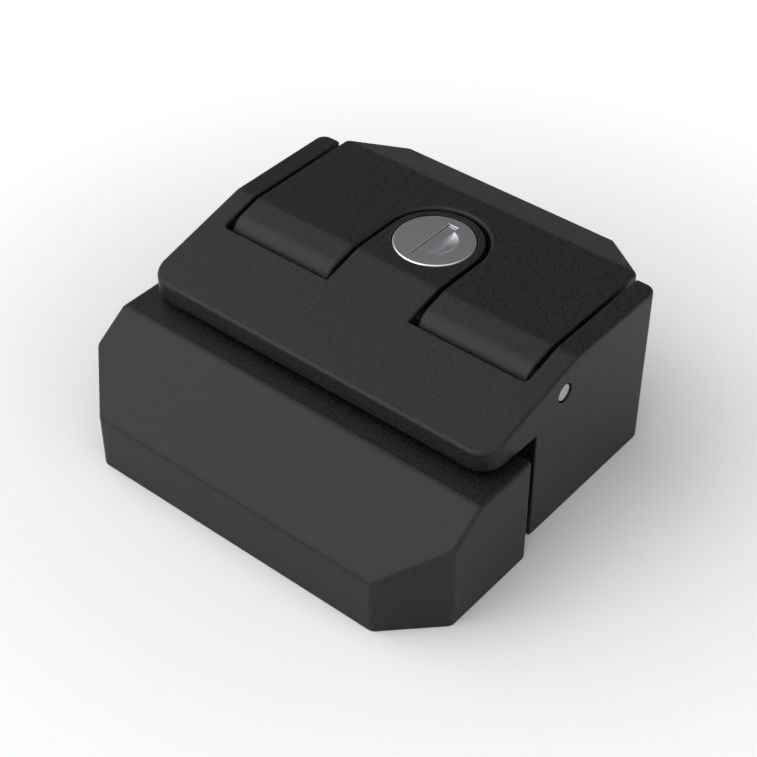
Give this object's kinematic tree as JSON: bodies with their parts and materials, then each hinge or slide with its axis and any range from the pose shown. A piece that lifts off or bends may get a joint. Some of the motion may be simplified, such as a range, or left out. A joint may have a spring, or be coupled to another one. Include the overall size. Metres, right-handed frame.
{
  "type": "cabinet lock",
  "caption": "Surface-mounted slam lock with a lever handle and key cylinder on a sloping moulded body, and its bevelled keeper block.",
  "frame": {"origin": "centre of the lock body's four fixing holes, on the mounting plane", "axes": "+Z out of the mounting plane, +Y from the keeper towards the lever's lip, X along the hinge pin"},
  "size_m": [0.085, 0.081, 0.0351],
  "materials": {
    "shell_black": "fine-textured",
    "lever_black": "fine-textured",
    "bezel_black": "matt",
    "rubber": "matt",
    "plated_steel": "zinc-plated",
    "pin_steel": "ground",
    "spring_steel": "drawn",
    "face_steel": "satin",
    "brass": "turned",
    "cast_carriage": "die-cast",
    "bush_plastic": "smooth"
  },
  "bodies": {
    "lock_body": {"housing_shell": "shell_black", "chassis_plate": "plated_steel", "chassis_screws": "plated_steel", "lock_inserts": "brass", "hinge_pin": "pin_steel", "bolt_bezel": "bezel_black", "lever_buffers": "rubber", "guide_rods": "pin_steel", "rod_clips": "spring_steel", "carriage_springs": "spring_steel", "bolt_springs": "spring_steel", "lock_sleeve": "brass", "lock_nut": "plated_steel", "keeper_shell": "shell_black", "keeper_base": "plated_steel", "keeper_screws": "plated_steel", "keeper_inserts": "brass", "strike_box": "plated_steel"},
    "lever": {"lever_handle": "lever_black", "hinge_bushes": "bush_plastic"},
    "carriage": {"bolt_carriage": "cast_carriage"},
    "latch": {"latch_bolt": "pin_steel"},
    "plug": {"key_plug": "brass", "plug_face": "face_steel", "plug_clip": "spring_steel"},
    "wafer_stack": {"wafers": "brass"},
    "shutter": {"key_shutter": "face_steel"},
    "lock_pin": {"locking_pin": "pin_steel"}
  },
  "joints": [
    {"name": "lever_hinge", "type": "hinge", "parent": "lock_body", "child": "lever", "pos_m": [0, -0.01025, 0.029], "axis": [1, 0, 0], "range_deg": [0, 40], "stiffness_Nm_per_rad": 0.08, "springref_deg": -20.05},
    {"name": "carriage_slide", "type": "slide", "parent": "lock_body", "child": "carriage", "axis": [0, 1, 0], "range_m": [0, 0.00789], "deforming": ["carriage_springs"]},
    {"name": "latch_slide", "type": "slide", "parent": "carriage", "child": "latch", "axis": [0, 1, 0], "range_m": [0, 0.0065], "stiffness_N_per_m": 300, "springref_m": -0.006, "deforming": ["bolt_springs"]},
    {"name": "key_turn", "type": "hinge", "parent": "lock_body", "child": "plug", "pos_m": [0, 0.00374, 0.025], "axis": [0, 0, 1], "range_deg": [0, 90]},
    {"name": "locking_slide", "type": "slide", "parent": "lock_body", "child": "lock_pin", "axis": [0.7071, 0.7071, 0], "range_m": [0, 0.00161]},
    {"name": "wafer_slide", "type": "slide", "parent": "plug", "child": "wafer_stack", "axis": [0, 1, 0], "range_m": [0, 0.0005]},
    {"name": "shutter_hinge", "type": "hinge", "parent": "plug", "child": "shutter", "pos_m": [-0.0008, 0.00374, 0.03453], "axis": [0, 1, 0], "range_deg": [0, 85], "stiffness_Nm_per_rad": 0.0001, "springref_deg": -28.65}
  ],
  "couplings": [
    {"joint": "carriage_slide", "follows": "lever_hinge", "m_per_rad": 0.011285},
    {"joint": "locking_slide", "follows": "key_turn", "m_per_rad": 0.0010186}
  ]
}
